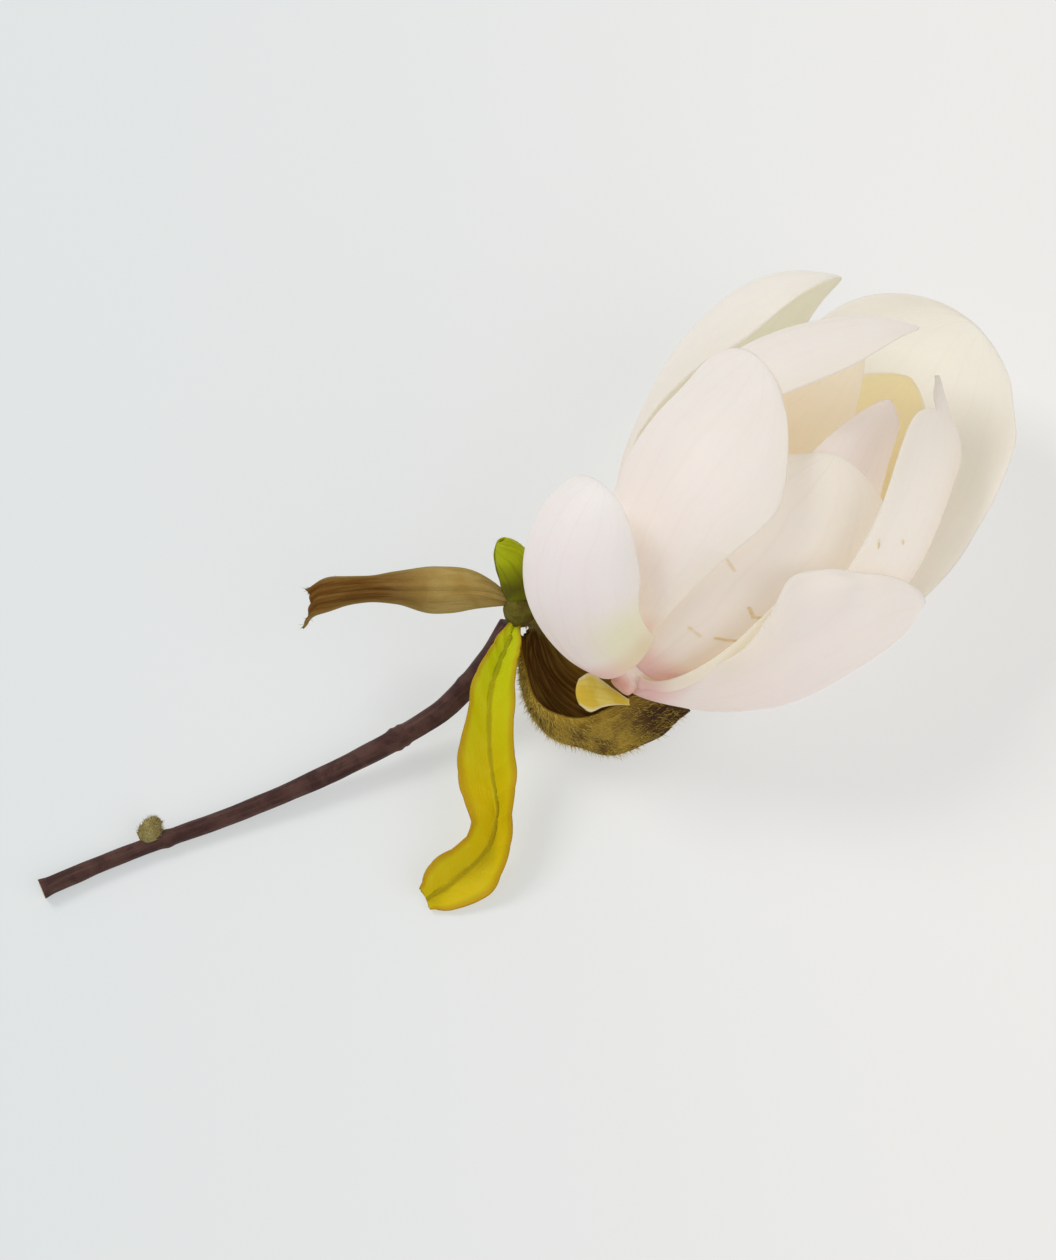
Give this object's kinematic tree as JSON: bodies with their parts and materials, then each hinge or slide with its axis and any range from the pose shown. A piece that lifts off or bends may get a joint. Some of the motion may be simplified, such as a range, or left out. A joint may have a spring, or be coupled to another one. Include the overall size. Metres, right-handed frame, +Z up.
{
  "type": "magnolia bud",
  "caption": "Half-open magnolia bud lying on its side, cut with a short twig, a bud scale, a folded young leaf and a dry bract.",
  "frame": {"origin": "middle of the bounding box, on the surface that the bud lies on", "axes": "+Z up from the surface, +X from the cut end of the twig towards the bloom, +Y towards the bloom's tip"},
  "size_m": [0.127, 0.0847, 0.0405],
  "materials": {
    "petal": "satin",
    "petal_inside": "satin",
    "lobe": "satin",
    "scale": "matte",
    "leaf": "satin",
    "dry": "matte",
    "bark": "satin",
    "heart": "matte",
    "anther": "matte"
  },
  "bodies": {
    "root": {"tepal_outer_left": "petal", "tepal_upper_front": "petal", "tepal_back_left": "petal", "tepal_arching": "petal", "tepal_back_right": "petal", "tepal_right_pointed": "petal", "tepal_inner_small": "petal", "tepal_front_centre": "petal", "tepal_lower_right": "petal", "tepal_under_front": "petal", "tepal_inside_left": "petal_inside", "tepal_inside_back": "petal_inside", "sepal_lobe": "lobe", "bud_scale": "scale", "young_leaf": "leaf", "leaf_knob": "leaf", "dry_bract": "dry", "twig": "bark", "node": "bark", "side_bud": "dry", "flower_stalk": "leaf", "receptacle": "heart", "stamen_ring": "anther", "pistil_cone": "heart"}
  },
  "joints": []
}
